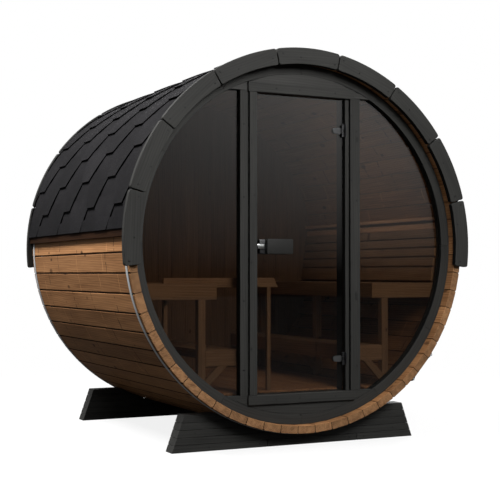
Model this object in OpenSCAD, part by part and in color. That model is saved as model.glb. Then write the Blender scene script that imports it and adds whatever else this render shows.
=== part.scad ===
// Barrel sauna: a lying barrel of staves on two cradles, with a glazed front wall,
// an outward opening glass door, a shingled upper half and two benches inside.
// Millimetres. +X is to the right of someone facing the front, the front faces -Y, +Z is up.
// The origin is on the ground, under the middle of the barrel.

/* [Barrel] */
// Length over the front and rear roof trims
overall_length = 1780; // [1500:10:2600]
// Outer radius of the barrel, to the flats of its staves
barrel_radius = 1000; // [850:10:1200]
// Thickness of a stave
stave_thickness = 42; // [28:1:50]
// Number of staves round the barrel
stave_count = 60; // [48:4:72]
// Height of the lowest stave above the ground
ground_gap = 70; // [50:5:110]

/* [Roof] */
// Angle of the eaves above the horizontal through the barrel's axis
eave_angle = 3.65; // [2:0.05:10]
// Thickness of the shingle covering
shingle_thickness = 26; // [15:1:32]
// Visible depth of the batten under each eave
eave_batten_drop = 38; // [20:1:60]
// Thickness of the roof trim, along the barrel
trim_thickness = 31; // [20:1:45]
// Radial width of the roof trim
trim_width = 87; // [70:1:110]
// Number of boards in a roof trim
trim_boards = 9; // [5:2:13]
// How far the roof trim reaches below the horizontal, in degrees
trim_below = 7; // [0:0.5:15]

/* [Hoops] */
// Width of a steel hoop
hoop_width = 26; // [15:1:40]
// Thickness of a steel hoop
hoop_thickness = 2.4; // [1:0.1:4]
// Distance of a hoop's middle from the end of the staves
hoop_inset = 36; // [25:1:60]

/* [Cradles] */
// Width of a cradle at the ground
cradle_base = 1456; // [1200:2:1700]
// Width of a cradle at its top
cradle_top = 1322; // [1100:2:1600]
// Number of stacked boards in a cradle
cradle_boards = 5; // [3:1:7]
// Height of one cradle board
cradle_board_height = 38; // [30:0.5:45]
// Thickness of a cradle, along the barrel
cradle_thickness = 85; // [50:1:120]
// Distance of a cradle from the end of the staves
cradle_inset = 94; // [70:1:300]

/* [Front wall] */
// How far the front and rear walls are set back from the ends of the staves
wall_recess = 52; // [30:1:90]
// Thickness of the outer boards of the front wall
wall_board = 22; // [16:1:30]
// Thickness of the inner boards of the front wall
lining_board = 16; // [12:1:25]
// Thickness of the side windows
glass_thickness = 8; // [5:1:10]
// Width of the ring frame inside the staves
ring_width = 54; // [35:1:80]
// Number of boards in the ring frame
ring_boards = 12; // [8:2:16]
// Height of the upper edge of the windows above the barrel's axis
window_top = 798; // [700:1:830]
// Depth of the lower edge of the windows below the barrel's axis
window_bottom = 791; // [700:1:830]
// Width of a post beside the door frame
post_width = 42; // [30:1:60]

/* [Door] */
// Clear width of the door frame
door_opening_width = 544; // [440:1:660]
// Clear height of the door frame
door_opening_height = 1584; // [1400:1:1620]
// Width of the door frame's members
door_frame_width = 50; // [35:1:60]
// Depth of the door frame, along the barrel
door_frame_depth = 112; // [90:1:140]
// How far the door frame stands in front of the wall
door_frame_proud = 15; // [0:1:30]
// How far the door's glass is set back in its frame
door_setback = 35; // [28:1:45]
// Thickness of the door's glass
door_glass_thickness = 8; // [6:1:10]
// Clearance all round the door
door_clearance = 5; // [5:0.5:8]
// Height of the hinges above and below the door's middle
hinge_spread = 619; // [450:1:680]
// Width of the handle
handle_width = 154; // [100:1:180]
// Height of the handle
handle_height = 80; // [50:1:100]
// Thickness of the handle
handle_thickness = 26; // [15:1:30]

/* [Inside] */
// Depth of the floor below the barrel's axis
floor_drop = 782; // [700:1:830]
// Thickness of the floor, seat, step and frame boards
board = 21; // [16:1:28]
// Depth of the seats below the barrel's axis
seat_drop = 210; // [120:1:300]
// Clear width between the two seats
seat_aisle = 946; // [800:2:1100]
// Number of slats in a seat
seat_slats = 5; // [3:1:7]
// Height of the boards round a seat or a step
apron_height = 83; // [60:1:110]
// Depth of the steps below the barrel's axis
step_drop = 555; // [450:1:600]
// Distance of a step from the door frame, across the barrel
step_clearance = 6; // [3:1:60]
// Number of slats in a step
step_slats = 3; // [2:1:4]
// Width and depth of a bench leg
leg_width = 41; // [30:1:55]
// Height of the backrests above the seats
backrest_height = 360; // [250:5:450]
// Length of the guard rail
guard_length = 660; // [500:5:700]
// Height of the guard rail's board
guard_height = 50; // [35:1:60]

/* [Hidden] */

$fn = 240;

black_stain = "#3a3b3b";
thermo_wood = "#b07a4c";
shingle_grey = "#434343";
steel_grey = "#a9abad";
smoked_glass = "#3b322c";
metal_black = "#1d1d1e";

glass_opacity = 0.6;

// Gap that is left between pieces which lie against each other.
fit = 0.3;

// Barrel.
axis_z = ground_gap + barrel_radius;
barrel_inner = barrel_radius - stave_thickness;
stave_angle = 360 / stave_count;
staves_per_side = stave_count / 4;
staves_front = -overall_length / 2 + trim_thickness;
staves_rear = overall_length / 2 - trim_thickness;
corner_radius = barrel_radius / cos(stave_angle / 2);
lining_radius = barrel_inner - fit;

// Hoops: each is drawn tight by a bolt through two lugs.
hoop_inner = corner_radius + fit;
hoop_outer = hoop_inner + hoop_thickness;
lug_angles = [-47, -37];
lug_height = 24;
lug_thickness = 8;
bolt_radius = 4;
bolt_height = 12;
bolt_overhang = 14;

// Roof, lying on the hoops.
roof_inner = hoop_outer + fit;
roof_outer = roof_inner + shingle_thickness;
trim_lip = 2.6;
trim_outer = roof_outer + trim_lip;
trim_inner = trim_outer - trim_width;
trim_sweep = (180 + 2 * trim_below) / trim_boards;
trim_joint = 1.5;
batten_thickness = 14;
batten_overlap = 20;
batten_room = 0.05;
ring_core = 1;
batten_low = eave_angle - eave_batten_drop / barrel_radius * 180 / PI;
batten_high = eave_angle + batten_overlap / barrel_radius * 180 / PI;

// Front wall, in layers from the outside to the inside.
wall_front = staves_front + wall_recess;
glazing_front = wall_front + wall_board + fit;
lining_front = glazing_front + glass_thickness + fit;
lining_rear = lining_front + lining_board;
ring_inner = lining_radius - ring_width;
window_rebate = 14;

// Door frame. A wide one is made lower, so that its corners stay inside the ring frame.
door_half = door_opening_width / 2;
frame_half = door_half + door_frame_width;
frame_half_height = min(
    door_opening_height / 2 + door_frame_width,
    sqrt(pow(ring_inner - fit, 2) - pow(frame_half, 2))
);
door_half_height = frame_half_height - door_frame_width;
frame_front = wall_front - door_frame_proud;
frame_rear = frame_front + door_frame_depth;

// Door.
door_front = frame_front + door_setback;
door_rear = door_front + door_glass_thickness;
leaf_half = door_half - door_clearance;
leaf_half_height = door_half_height - door_clearance;
hinge_inset = 7;
hinge_standoff = 10;
hinge_x = leaf_half - hinge_inset;
hinge_y = door_front - hinge_standoff;
knuckle_radius = 6.5;
knuckle_height = 22;
knuckle_gap = 1;
pin_radius = 3;
pin_clearance = 0.4;
hinge_plate = 4;
hinge_neck_lap = 1;
hinge_plate_gap = 2;
bracket_front_margin = 3;
bracket_rear_margin = 2;
bracket_arm_half = 4;
hinge_leaf_height = 32;
hinge_leaf_length = 58;
hinge_bracket_height = knuckle_height * 3 + 2 * knuckle_gap;
lock_inset = 20;
lock_x = -leaf_half + lock_inset;
lock_length = 140;
lock_lap = 2;
lock_height = handle_height - 2 * lock_lap;
lock_thickness = 14;
latch_height = 26;
latch_length = 46;
latch_inset = 3;
latch_x = -leaf_half + latch_inset;
latch_thickness = 8;
latch_lap = 1;
handle_offset = 31;
handle_x = lock_x + handle_offset;
handle_drop = 16;

// Rear wall.
rear_outer = staves_rear - wall_recess;
rear_board = 28;
rear_inner = rear_outer - rear_board;
rear_boards = 20;
wall_joint = 0.4;

// Distance of the joists and bench frames from the walls.
wall_clearance = 5;

// Floor.
floor_top = -floor_drop;
floor_bottom = floor_top - board;
floor_clearance = 1;
floor_half = chord(floor_bottom) - floor_clearance;
floor_boards_count = 10;
floor_joint = 4;
floor_joist = 60;
joist_width = 45;
joist_positions = [
    frame_rear + wall_clearance,
    (frame_rear + rear_inner - joist_width) / 2,
    rear_inner - joist_width - wall_clearance,
];

// Benches. Three frames carry each of them: front, middle and rear.
bench_front = lining_rear + wall_clearance;
bench_rear = rear_inner - wall_clearance;
frame_positions = [
    bench_front,
    (bench_front + bench_rear - leg_width) / 2,
    bench_rear - leg_width,
];
seat_top = -seat_drop;
seat_half = seat_aisle / 2;
seat_clearance = 2;
seat_wall = chord(seat_top - board) - seat_clearance;
step_top = -step_drop;
step_half = frame_half + step_clearance;
leg_setback = 64;
leg_in = seat_half + leg_setback;
leg_out = leg_in + leg_width;
slat_gap = 6;
brace_width = 38;
brace_reach = 122;

// Backrests lean back towards the staves.
backrest_lift = 12;
backrest_foot = seat_top + backrest_lift;
backrest_head = seat_top + backrest_height;
backrest_slat = 16;
backrest_room = 12;
backrest_slope = 52;
backrest_head_x = chord(backrest_head) - backrest_slat - backrest_room;
backrest_foot_x = backrest_head_x - backrest_slope;
backrest_heights = [78, 50, 46, 46, 84];
backrest_gap = 8;
backrest_lean = atan2(backrest_head_x - backrest_foot_x, backrest_head - backrest_foot);
cap_depth = 44;
cap_thickness = 18;

// Guard rail.
guard_gap = 6;
guard_y = frame_rear + guard_gap;
guard_thickness = 22;
guard_right = -89;
guard_left = guard_right - guard_length;
guard_leg = 22;
guard_leg_inset = 44;
guard_rise = 29;
guard_top = seat_top + guard_rise;
guard_bottom = guard_top - guard_height;
guard_lap = 1;

// Foot of the rail's outer leg: on the floor where the floor is that wide, or else on the staves.
guard_foot = guard_left + guard_leg > -floor_half - fit ? floor_top + fit : -barrel_inner;

// Half width of the barrel's inside at a height above its axis.
function chord(z) = sqrt(pow(barrel_inner, 2) - pow(z, 2));

// Point at an angle and a radius.
function polar(angle, radius) = [radius * cos(angle), radius * sin(angle)];

// Extrudes a front view from one place along the barrel to another, about its axis.
module along(y0, y1) {
    translate([0, y1, axis_z])
        rotate([90, 0, 0])
            linear_extrude(height = y1 - y0)
                children();
}

// Box between two corners, measured from the barrel's axis.
module block(x0, x1, y0, y1, z0, z1) {
    translate([x0, y0, axis_z + z0])
        cube([x1 - x0, y1 - y0, z1 - z0]);
}

// Upright cylinder between two heights, measured from the barrel's axis.
module upright(x, y, radius, z0, z1) {
    translate([x, y, axis_z + z0])
        cylinder(h = z1 - z0, r = radius);
}

// Mirrors a piece of the right side to the left side.
module side(is_left) {
    mirror([is_left ? 1 : 0, 0, 0])
        children();
}

// Rectangle between two corners.
module rectangle(x0, x1, z0, z1) {
    translate([x0, z0])
        square([x1 - x0, z1 - z0]);
}

// Wedge from the axis outwards between two angles, less than half a turn apart.
module wedge(a0, a1) {
    reach = 2 * trim_outer;
    steps = 4;
    arc = [for (i = [0:steps]) polar(a0 + (a1 - a0) * i / steps, reach)];
    polygon(concat([[0, 0]], arc));
}

// Part of a ring between two angles.
module ring_part(inner, outer, a0, a1) {
    intersection() {
        difference() {
            circle(r = outer);
            circle(r = inner);
        }
        wedge(a0, a1);
    }
}

// One stave in the front view, at an angle round the barrel.
module stave(angle) {
    half_inner = barrel_inner * tan(stave_angle / 2) - wall_joint / 2;
    half_outer = barrel_radius * tan(stave_angle / 2) - wall_joint / 2;
    rotate(angle)
        polygon([
            [barrel_inner, -half_inner],
            [barrel_radius, -half_outer],
            [barrel_radius, half_outer],
            [barrel_inner, half_inner],
        ]);
}

// A quarter of the barrel's staves, about an angle.
module staves(middle) {
    color(thermo_wood)
        along(staves_front, staves_rear)
            for (i = [0:staves_per_side - 1])
                stave(middle + (i - (staves_per_side - 1) / 2) * stave_angle);
}

// Steel hoop with its lugs and tightening bolt, about a place along the barrel.
module hoop(y) {
    color(steel_grey) {
        along(y - hoop_width / 2, y + hoop_width / 2)
            difference() {
                circle(r = hoop_outer);
                circle(r = hoop_inner);
                wedge(lug_angles[0], lug_angles[1]);
            }
        for (angle = lug_angles)
            hoop_lug(y, angle);
        hoop_bolt(y);
    }
}

// Lug at one end of a hoop.
module hoop_lug(y, angle) {
    along(y - hoop_width / 2, y + hoop_width / 2)
        rotate(angle)
            translate([hoop_inner, -lug_thickness / 2])
                square([lug_height, lug_thickness]);
}

// Bolt through the two lugs of a hoop.
module hoop_bolt(y) {
    middle = (lug_angles[0] + lug_angles[1]) / 2;
    half_angle = (lug_angles[1] - lug_angles[0]) / 2;
    half_span = hoop_outer * sin(half_angle) + bolt_overhang;
    translate([0, y, axis_z])
        rotate([0, -middle, 0])
            translate([hoop_outer + bolt_height, 0, -half_span])
                cylinder(h = 2 * half_span, r = bolt_radius);
}

// Shingle covering over the upper half, with room for the eave battens.
module roof_shingles() {
    color(shingle_grey)
        along(staves_front + fit, staves_rear - fit)
            difference() {
                ring_part(roof_inner, roof_outer, eave_angle, 180 - eave_angle);
                ring_part(ring_core, roof_inner + batten_thickness + fit, 0, batten_high + batten_room);
                ring_part(ring_core, roof_inner + batten_thickness + fit, 180 - batten_high - batten_room, 180);
            }
}

// Batten along one eave, under the lowest shingles.
module eave_batten(is_left) {
    color("#5c4230")
        side(is_left)
            along(staves_front + fit, staves_rear - fit)
                ring_part(roof_inner, roof_inner + batten_thickness, batten_low, batten_high);
}

// Roof trim of black boards on the ends of the staves, from one place along the barrel to another.
module roof_trim(y0, y1) {
    joint_angle = trim_joint / trim_outer * 180 / PI;
    color(black_stain)
        along(y0, y1)
            for (i = [0:trim_boards - 1])
                ring_part(
                    trim_inner, trim_outer,
                    -trim_below + i * trim_sweep + joint_angle / 2,
                    -trim_below + (i + 1) * trim_sweep - joint_angle / 2
                );
}

// Cradle of stacked boards, hollowed to carry the barrel.
module cradle(y0, y1) {
    height = cradle_boards * cradle_board_height;
    bottom = -axis_z;
    color(black_stain)
        along(y0, y1)
            for (i = [0:cradle_boards - 1])
                difference() {
                    intersection() {
                        polygon([
                            [-cradle_base / 2, bottom],
                            [cradle_base / 2, bottom],
                            [cradle_top / 2, bottom + height],
                            [-cradle_top / 2, bottom + height],
                        ]);
                        rectangle(
                            -cradle_base, cradle_base,
                            bottom + i * cradle_board_height,
                            bottom + (i + 1) * cradle_board_height - wall_joint
                        );
                    }
                    circle(r = corner_radius + fit);
                }
}

// Outline of the front wall's inside, without the ring frame.
module wall_disc() {
    circle(r = ring_inner - fit);
}

// Outline of the door frame, with room round it.
module door_hole() {
    rectangle(
        -frame_half - fit, frame_half + fit,
        -frame_half_height - fit, frame_half_height + fit
    );
}

// Outline of a window on the right side, grown by a margin on every side.
module window_shape(margin) {
    intersection() {
        circle(r = ring_inner + margin);
        rectangle(
            frame_half + post_width - margin, ring_inner + margin,
            -window_bottom - margin, window_top + margin
        );
    }
}

// Ring frame inside the staves.
module front_ring() {
    sweep = 360 / ring_boards;
    half_joint = wall_joint / ring_inner * 180 / PI / 2;
    color(black_stain)
        along(wall_front, wall_front + wall_board)
            for (i = [0:ring_boards - 1])
                ring_part(
                    ring_inner, lining_radius,
                    i * sweep + half_joint, (i + 1) * sweep - half_joint
                );
}

// Boards above the windows.
module front_wall_top() {
    color(black_stain)
        along(wall_front, wall_front + wall_board)
            difference() {
                intersection() {
                    wall_disc();
                    rectangle(-ring_inner, ring_inner, window_top, ring_inner);
                }
                door_hole();
            }
}

// Boards below the windows.
module front_wall_bottom() {
    color(black_stain)
        along(wall_front, wall_front + wall_board)
            difference() {
                intersection() {
                    wall_disc();
                    rectangle(-ring_inner, ring_inner, -ring_inner, -window_bottom);
                }
                door_hole();
            }
}

// Post between the door frame and a window.
module post(is_left) {
    color(black_stain)
        side(is_left)
            block(
                frame_half + fit, frame_half + post_width,
                wall_front, wall_front + wall_board,
                -window_bottom + fit, window_top - fit
            );
}

// Natural boards on the inside of the front wall, behind the windows' edges.
module front_lining() {
    color(thermo_wood)
        along(lining_front, lining_rear)
            difference() {
                circle(r = lining_radius);
                door_hole();
                window_shape(0);
                mirror([1, 0])
                    window_shape(0);
            }
}

// Side window.
module window(is_left) {
    color(smoked_glass, glass_opacity)
        side(is_left)
            along(glazing_front, glazing_front + glass_thickness)
                window_shape(window_rebate);
}

// Upper or lower member of the door frame.
module door_rail(z0, z1) {
    color(black_stain)
        block(-frame_half, frame_half, frame_front, frame_rear, z0, z1);
}

// Upright member of the door frame.
module door_jamb(is_left) {
    color(black_stain)
        side(is_left)
            block(
                door_half, frame_half, frame_front, frame_rear,
                -door_half_height + fit, door_half_height - fit
            );
}

// Glass leaf of the door.
module door_glass() {
    color(smoked_glass, glass_opacity)
        block(
            -leaf_half, leaf_half, door_front, door_rear,
            -leaf_half_height, leaf_half_height
        );
}

// Grips outside and inside the door, on the lock's plates.
module door_handle() {
    outer_rear = door_front - fit - lock_thickness;
    inner_front = door_rear + fit + lock_thickness;
    z0 = -handle_drop - handle_height / 2;
    color("#3f4041") {
        block(
            handle_x, handle_x + handle_width,
            outer_rear - handle_thickness, outer_rear - fit,
            z0, z0 + handle_height
        );
        block(
            handle_x, handle_x + handle_width,
            inner_front + fit, inner_front + handle_thickness,
            z0, z0 + handle_height
        );
    }
}

// Lock with a plate on each side of the glass, and its latch.
module door_lock() {
    z0 = -handle_drop - lock_height / 2;
    latch_z = -handle_drop - latch_height / 2;
    color(metal_black) {
        block(
            lock_x, lock_x + lock_length,
            door_front - fit - lock_thickness, door_front - fit,
            z0, z0 + lock_height
        );
        block(
            lock_x, lock_x + lock_length,
            door_rear + fit, door_rear + fit + lock_thickness,
            z0, z0 + lock_height
        );
        block(
            latch_x, latch_x + latch_length,
            door_front - fit - lock_thickness - latch_thickness, door_front - fit - lock_thickness + latch_lap,
            latch_z, latch_z + latch_height
        );
    }
}

// Door side of the hinges: a leaf clamped on each side of the glass, and a knuckle.
module door_hinges() {
    color(metal_black)
        for (z = [-hinge_spread, hinge_spread])
            door_hinge_leaf(z);
}

module door_hinge_leaf(z) {
    straight = hinge_leaf_length - hinge_leaf_height / 2;
    difference() {
        union() {
            hinge_plate_at(z, door_front - fit - hinge_plate, straight, hinge_x - knuckle_radius - hinge_plate_gap);
            block(
                hinge_x - knuckle_radius - hinge_plate_gap - hinge_neck_lap, hinge_x,
                hinge_y, door_front - fit,
                z - knuckle_height / 2, z + knuckle_height / 2
            );
            upright(hinge_x, hinge_y, knuckle_radius, z - knuckle_height / 2, z + knuckle_height / 2);
        }
        upright(hinge_x, hinge_y, pin_radius + pin_clearance, z - hinge_leaf_height, z + hinge_leaf_height);
    }
    hinge_plate_at(z, door_rear + fit, straight, hinge_x);
}

// Plate with a round end that points into the glass.
module hinge_plate_at(z, y, straight, right) {
    translate([0, 0, z])
        along(y, y + hinge_plate) {
            rectangle(hinge_x - straight, right, -hinge_leaf_height / 2, hinge_leaf_height / 2);
            translate([hinge_x - straight, 0])
                circle(d = hinge_leaf_height);
        }
}

// Frame side of the hinges: a bracket on the jamb, two knuckles and the pin.
module frame_hinges() {
    color(metal_black)
        for (z = [-hinge_spread, hinge_spread])
            frame_hinge_bracket(z);
}

module frame_hinge_bracket(z) {
    low = z - hinge_bracket_height / 2;
    high = z + hinge_bracket_height / 2;
    web_low = z - knuckle_height / 2 - knuckle_gap;
    web_high = z + knuckle_height / 2 + knuckle_gap;
    block(
        door_half - hinge_plate, door_half - fit,
        frame_front + bracket_front_margin, door_front - bracket_rear_margin,
        low, high
    );
    for (span = [[low, web_low], [web_high, high]]) {
        block(
            hinge_x, door_half - hinge_neck_lap,
            hinge_y - bracket_arm_half, hinge_y + bracket_arm_half,
            span[0], span[1]
        );
        upright(hinge_x, hinge_y, knuckle_radius, span[0], span[1]);
    }
    upright(hinge_x, hinge_y, pin_radius, low, high);
}

// Vertical boards of the rear wall.
module rear_wall() {
    pitch = 2 * lining_radius / rear_boards;
    color(thermo_wood)
        along(rear_inner, rear_outer)
            for (i = [0:rear_boards - 1])
                intersection() {
                    circle(r = lining_radius);
                    rectangle(
                        -lining_radius + i * pitch + wall_joint / 2,
                        -lining_radius + (i + 1) * pitch - wall_joint / 2,
                        -barrel_radius, barrel_radius
                    );
                }
}

// Boards that run the length of the floor. Those behind the door start at its sill.
module floor_boards() {
    pitch = (2 * floor_half + floor_joint) / floor_boards_count;
    color(thermo_wood)
        for (i = [0:floor_boards_count - 1]) {
            left = -floor_half + i * pitch;
            right = left + pitch - floor_joint;
            meets_sill = left < frame_half + fit && right > -frame_half - fit;
            front = meets_sill ? frame_rear + fit : lining_rear + 2;
            block(left, right, front, rear_inner - 2, floor_bottom, floor_top);
        }
}

// Joists under the floor, seated on the staves.
module floor_joists() {
    color(thermo_wood)
        for (y = joist_positions)
            along(y, y + joist_width)
                intersection() {
                    circle(r = lining_radius);
                    rectangle(
                        -barrel_radius, barrel_radius,
                        floor_bottom - floor_joist, floor_bottom - fit
                    );
                }
}

// Lengthwise slats between two distances from the middle, with a fascia on the aisle side.
module slatted_deck(aisle_edge, wall_edge, top, slats) {
    first = aisle_edge + board + fit;
    pitch = (wall_edge - first + slat_gap) / slats;
    y0 = bench_front + board + fit;
    y1 = bench_rear - fit;
    block(aisle_edge, aisle_edge + board, y0, y1, top - apron_height, top);
    for (i = [0:slats - 1])
        block(first + i * pitch, first + (i + 1) * pitch - slat_gap, y0, y1, top - board, top);
}

// Seat of a bench.
module seat(is_left) {
    color(thermo_wood)
        side(is_left)
            slatted_deck(seat_half, seat_wall, seat_top, seat_slats);
}

// Step in front of a bench.
module step(is_left) {
    color(thermo_wood)
        side(is_left)
            slatted_deck(step_half, leg_in - fit, step_top, step_slats);
}

// The three frames of a bench.
module bench_frames(is_left) {
    color(thermo_wood)
        side(is_left)
            for (i = [0:2])
                bench_frame(frame_positions[i], i == 0);
}

// One bench frame. Only the front one closes the ends of the slats.
module bench_frame(y, is_front) {
    seat_low = seat_top - apron_height;
    step_low = step_top - apron_height;
    slat_bottom = board + fit;
    if (is_front) {
        along(y, y + board)
            intersection() {
                circle(r = lining_radius);
                union() {
                    rectangle(seat_half, barrel_inner, seat_low, seat_top);
                    rectangle(step_half, leg_in + 1, step_low, step_top);
                }
            }
    }
    inner_seat = seat_half + board + fit;
    inner_step = step_half + board + fit;
    along(y + board + fit, y + leg_width)
        intersection() {
            circle(r = lining_radius);
            union() {
                rectangle(inner_seat, barrel_inner, seat_low, seat_top - slat_bottom);
                rectangle(inner_step, leg_in + 1, step_low, step_top - slat_bottom);
            }
        }
    along(y, y + leg_width)
        intersection() {
            circle(r = lining_radius);
            union() {
                difference() {
                    rectangle(leg_in, leg_out, -barrel_inner, seat_low + 1);
                    rectangle(0, floor_half + fit, -barrel_inner, floor_top + fit);
                }
                rectangle(leg_in, leg_out, floor_top + fit, seat_low + 1);
            }
        }
    along(y, y + board)
        bench_brace(step_low);
}

// Brace from the foot of a leg to the underside of the step.
module bench_brace(step_low) {
    across = brace_width / cos(45);
    polygon([
        [leg_in + 1, step_low - brace_reach],
        [leg_in + 1, step_low - brace_reach + across],
        [leg_in - brace_reach + across, step_low + 1],
        [leg_in - brace_reach, step_low + 1],
    ]);
}

// Backrest of lengthwise slats on three uprights, with a cap along its top.
module backrest(is_left) {
    cap_bottom = backrest_head + fit;
    color(thermo_wood)
        side(is_left) {
            along(bench_front, bench_rear) {
                translate([backrest_foot_x, backrest_foot])
                    rotate(-backrest_lean)
                        backrest_slats();
                intersection() {
                    circle(r = lining_radius);
                    rectangle(
                        chord(cap_bottom) - cap_depth, barrel_inner,
                        cap_bottom, cap_bottom + cap_thickness
                    );
                }
            }
            for (y = frame_positions)
                along(y + board, y + leg_width)
                    backrest_upright();
        }
}

// Section of the backrest's slats, from its foot upwards.
module backrest_slats() {
    for (i = [0:len(backrest_heights) - 1])
        translate([0, slat_start(i)])
            square([backrest_slat, backrest_heights[i]]);
}

// Distance from the backrest's foot to the bottom of a slat.
function slat_start(i) = i == 0 ? 0 : slat_start(i - 1) + backrest_heights[i - 1] + backrest_gap;

// Section of an upright between the slats and the staves.
module backrest_upright() {
    difference() {
        intersection() {
            circle(r = lining_radius);
            rectangle(backrest_foot_x, barrel_inner, seat_top + fit, backrest_head);
        }
        translate([backrest_foot_x, backrest_foot])
            rotate(-backrest_lean)
                translate([-barrel_radius, -backrest_height])
                    square([barrel_radius + backrest_slat + fit, 3 * backrest_height]);
    }
}

// Guard rail just inside the front wall: a board on two slender legs.
module guard_rail() {
    seat_edge = -seat_half + guard_lap;
    color(thermo_wood) {
        along(guard_y, guard_y + guard_thickness)
            polygon([
                [guard_left, seat_top + fit],
                [seat_edge, seat_top + fit],
                [seat_edge, guard_bottom],
                [guard_right, guard_bottom],
                [guard_right - guard_height / 2, guard_top],
                [guard_left, guard_top],
            ]);
        block(
            guard_right - guard_leg_inset - guard_leg, guard_right - guard_leg_inset,
            guard_y, guard_y + guard_leg,
            floor_top + fit, guard_bottom + guard_lap
        );
        along(guard_y, guard_y + guard_leg)
            intersection() {
                circle(r = lining_radius);
                rectangle(
                    guard_left + fit, guard_left + guard_leg,
                    guard_foot, seat_top - board - fit
                );
            }
    }
}

staves(90);  // staves_top
staves(0);  // staves_right
staves(-90);  // staves_bottom
staves(180);  // staves_left
hoop(staves_front + hoop_inset);  // front_hoop
hoop(staves_rear - hoop_inset);  // rear_hoop
roof_shingles();
eave_batten(true);  // eave_batten_left
eave_batten(false);  // eave_batten_right
roof_trim(-overall_length / 2, staves_front);  // front_roof_trim
roof_trim(staves_rear, overall_length / 2);  // rear_roof_trim
cradle(staves_front + cradle_inset, staves_front + cradle_inset + cradle_thickness);  // front_cradle
cradle(staves_rear - cradle_inset - cradle_thickness, staves_rear - cradle_inset);  // rear_cradle
front_ring();
front_wall_top();
front_wall_bottom();
post(true);  // post_left
post(false);  // post_right
front_lining();
window(true);  // window_left
window(false);  // window_right
door_rail(door_half_height, frame_half_height);  // door_head
door_rail(-frame_half_height, -door_half_height);  // door_sill
door_jamb(true);  // door_jamb_left
door_jamb(false);  // door_jamb_right
door_glass();
door_handle();
door_lock();
door_hinges();
frame_hinges();
rear_wall();
floor_boards();
floor_joists();
seat(true);  // seat_left
seat(false);  // seat_right
step(true);  // step_left
step(false);  // step_right
bench_frames(true);  // bench_frames_left
bench_frames(false);  // bench_frames_right
backrest(true);  // backrest_left
backrest(false);  // backrest_right
guard_rail();
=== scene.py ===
"""Looks of the barrel sauna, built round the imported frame. Metres, +Z up, the front faces -Y."""

import math
import random

import bmesh
import bpy
from mathutils import Matrix, Vector


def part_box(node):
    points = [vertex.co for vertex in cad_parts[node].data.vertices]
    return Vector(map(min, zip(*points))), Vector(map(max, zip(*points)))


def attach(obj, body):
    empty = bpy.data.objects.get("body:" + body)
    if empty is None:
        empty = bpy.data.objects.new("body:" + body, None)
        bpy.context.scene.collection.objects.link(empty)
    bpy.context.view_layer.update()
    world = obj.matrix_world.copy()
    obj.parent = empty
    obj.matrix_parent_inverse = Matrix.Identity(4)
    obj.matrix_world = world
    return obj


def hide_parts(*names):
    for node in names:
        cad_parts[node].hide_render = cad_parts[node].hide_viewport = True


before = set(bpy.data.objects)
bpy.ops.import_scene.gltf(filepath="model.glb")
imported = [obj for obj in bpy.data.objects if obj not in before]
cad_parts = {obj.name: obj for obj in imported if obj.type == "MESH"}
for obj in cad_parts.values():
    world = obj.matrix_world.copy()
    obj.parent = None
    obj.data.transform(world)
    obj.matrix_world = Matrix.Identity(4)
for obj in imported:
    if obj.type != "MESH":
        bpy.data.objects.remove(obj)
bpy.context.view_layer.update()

# ---------------------------------------------------------------- sizes, from the frame

X, Y, Z = 0, 1, 2


def spans(name):
    """A CAD node's box as x0, x1, y0, y1, z0, z1."""
    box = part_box(name)
    return tuple(box[end][axis] for axis in (X, Y, Z) for end in (0, 1))


ring_x0, ring_x1, RING_FRONT, RING_REAR, ring_z0, ring_z1 = spans("front_ring")
_, _, STAVES_FRONT, STAVES_REAR, staves_z0, _ = spans("staves_bottom")
_, _, ROOF_FRONT, ROOF_REAR, _, roof_z1 = spans("roof_shingles")
FIT = 0.0003
AXIS_Z = (ring_z0 + ring_z1) / 2
LINING_R = (ring_x1 - ring_x0) / 2
BARREL_R = AXIS_Z - staves_z0
INNER_R = LINING_R + FIT
TRIM_R = spans("front_roof_trim")[5] - AXIS_Z
ROOF_R = roof_z1 - AXIS_Z

STAVE_COUNT = 60
STAVE_JOINT = 0.0004
STAVE_GROOVE = 0.0052
STAVE_BEVEL = 0.0015
# Painted light: fixed tones make the stave at each side's middle, just under the eave, lighter as a highlight, and the
# next two darker as shade.
SIDE_LIGHT_TONES = {0: 0.95, 1: 0.3, 2: 0.17}  # of the staves at a side's middle, and on from there

HOOP_THICKNESS = 0.0024
LUG_ANGLES = (-47.0, -37.0)
LUG_HEIGHT = 0.024
LUG_HALF = 0.004
BOLT_R = 0.004
BOLT_PAST = 0.014
NUT_R = 0.0072
NUT_LENGTH = 0.0065
NUT_INSETS = (0.009, 0.024)

ROOF_THICKNESS = 0.026
BATTEN_THICKNESS = 0.014
EAVE_ANGLE = 3.65
STARTER_END = 7.2
STARTER_SUNK = 0.0045
SHINGLE_ROWS = 10
ROW_ANGLE = 8.83
FIRST_ROW = 90.3 - SHINGLE_ROWS * ROW_ANGLE
FIRST_TAB = 0.124
TAB_PITCH = 0.4295
TAB_FLAT = 0.125
TAB_SLANT = (TAB_PITCH / 2) - TAB_FLAT
TAB_THICKNESS = 0.007
TAB_LIFT = 0.010
TAB_OVERLAP = 0.35
TAB_JITTER = 0.0015
EAVE_SPREAD = 0.035
RIDGE_CAPS = 7
RIDGE_HALF_ANGLE = 5.6
RIDGE_LAP = 1.12
RIDGE_DIP = 0.0035
RIDGE_THICKNESS = 0.0045

TRIM_BOARDS = 9
TRIM_BELOW = 7.0
TRIM_WIDTH = 0.087
TRIM_JOINT = 0.0060
TRIM_CORNER = 0.012
TRIM_BEVEL = 0.0042
SCREW_PROUD = 0.0009

CRADLE_BOARDS = 5
CRADLE_SEAM = 0.0016
CRADLE_INSET = 0.067
CRADLE_CUTS = (-0.184, 0.367)
CUT_HALF = 0.0014
CRADLE_SCREWS = ((-0.52, 0), (-0.23, 0), (-0.14, 0), (0.32, 0), (0.41, 0), (0.6, 1), (-0.6, 2), (0.58, 3))

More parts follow.
